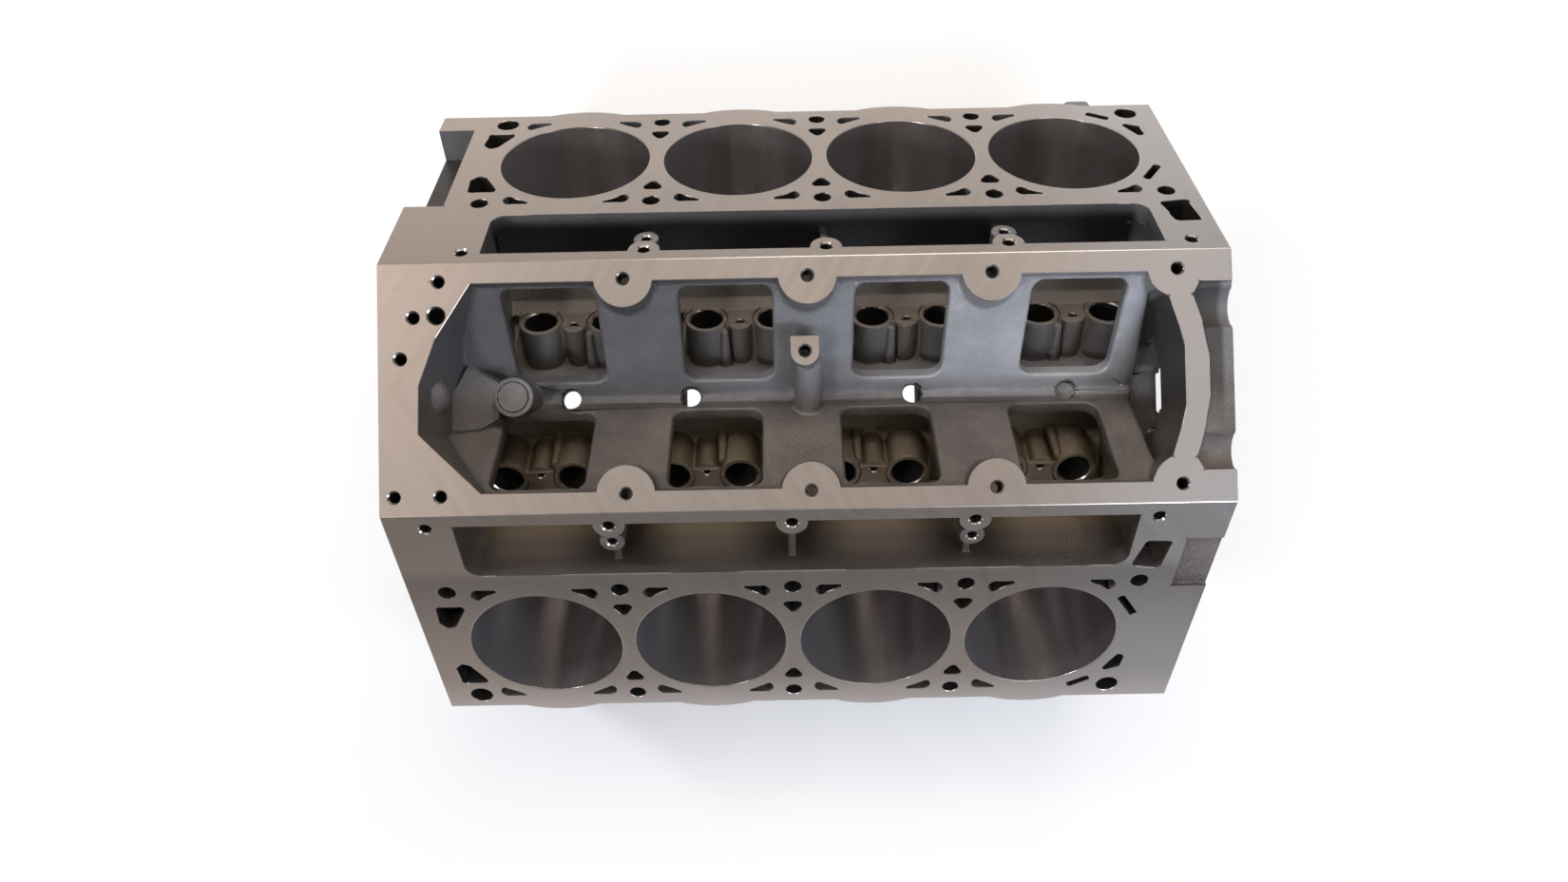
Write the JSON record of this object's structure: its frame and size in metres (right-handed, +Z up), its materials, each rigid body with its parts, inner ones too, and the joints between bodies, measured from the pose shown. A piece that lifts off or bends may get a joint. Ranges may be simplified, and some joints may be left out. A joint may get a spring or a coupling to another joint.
{
  "type": "engine block",
  "caption": "Bare cast-iron V8 engine block with open valley, machined decks, honed bores and bolted main bearing caps.",
  "frame": {"origin": "on the crank axis at the middle main bearing", "axes": "+X along the crank to the front of the engine, +Y to the left bank, +Z up towards the valley rail"},
  "size_m": [0.5285, 0.4449, 0.3234],
  "materials": {
    "cast_iron": "rough cast, with milled and honed faces",
    "cap_iron": "rough cast with milled faces",
    "bolt_steel": "black oiled steel",
    "bearing_metal": "bored bearing metal",
    "plug_brass": "pressed brass",
    "plug_steel": "turned steel"
  },
  "bodies": {
    "root": {"bellhousing_dowel_left": "plug_steel", "bellhousing_dowel_right": "plug_steel", "cam_bearing_1": "bearing_metal", "cam_bearing_2": "bearing_metal", "cam_bearing_3": "bearing_metal", "cam_bearing_4": "bearing_metal", "cam_bearing_5": "bearing_metal", "core_plug_left_1": "plug_brass", "core_plug_left_2": "plug_brass", "core_plug_left_3": "plug_brass", "core_plug_right_1": "plug_brass", "core_plug_right_2": "plug_brass", "core_plug_right_3": "plug_brass", "cylinder_block": "cast_iron", "front_gallery_plug_left": "plug_steel", "front_gallery_plug_right": "plug_steel", "inner_main_bolts": "bolt_steel", "main_cap_1": "cap_iron", "main_cap_2": "cap_iron", "main_cap_3": "cap_iron", "main_cap_4": "cap_iron", "main_cap_5": "cap_iron", "outer_main_bolts": "bolt_steel", "rear_gallery_plug_left": "plug_steel", "rear_gallery_plug_right": "plug_steel", "rear_valley_plug": "plug_steel", "side_main_bolts": "bolt_steel"}
  },
  "joints": []
}
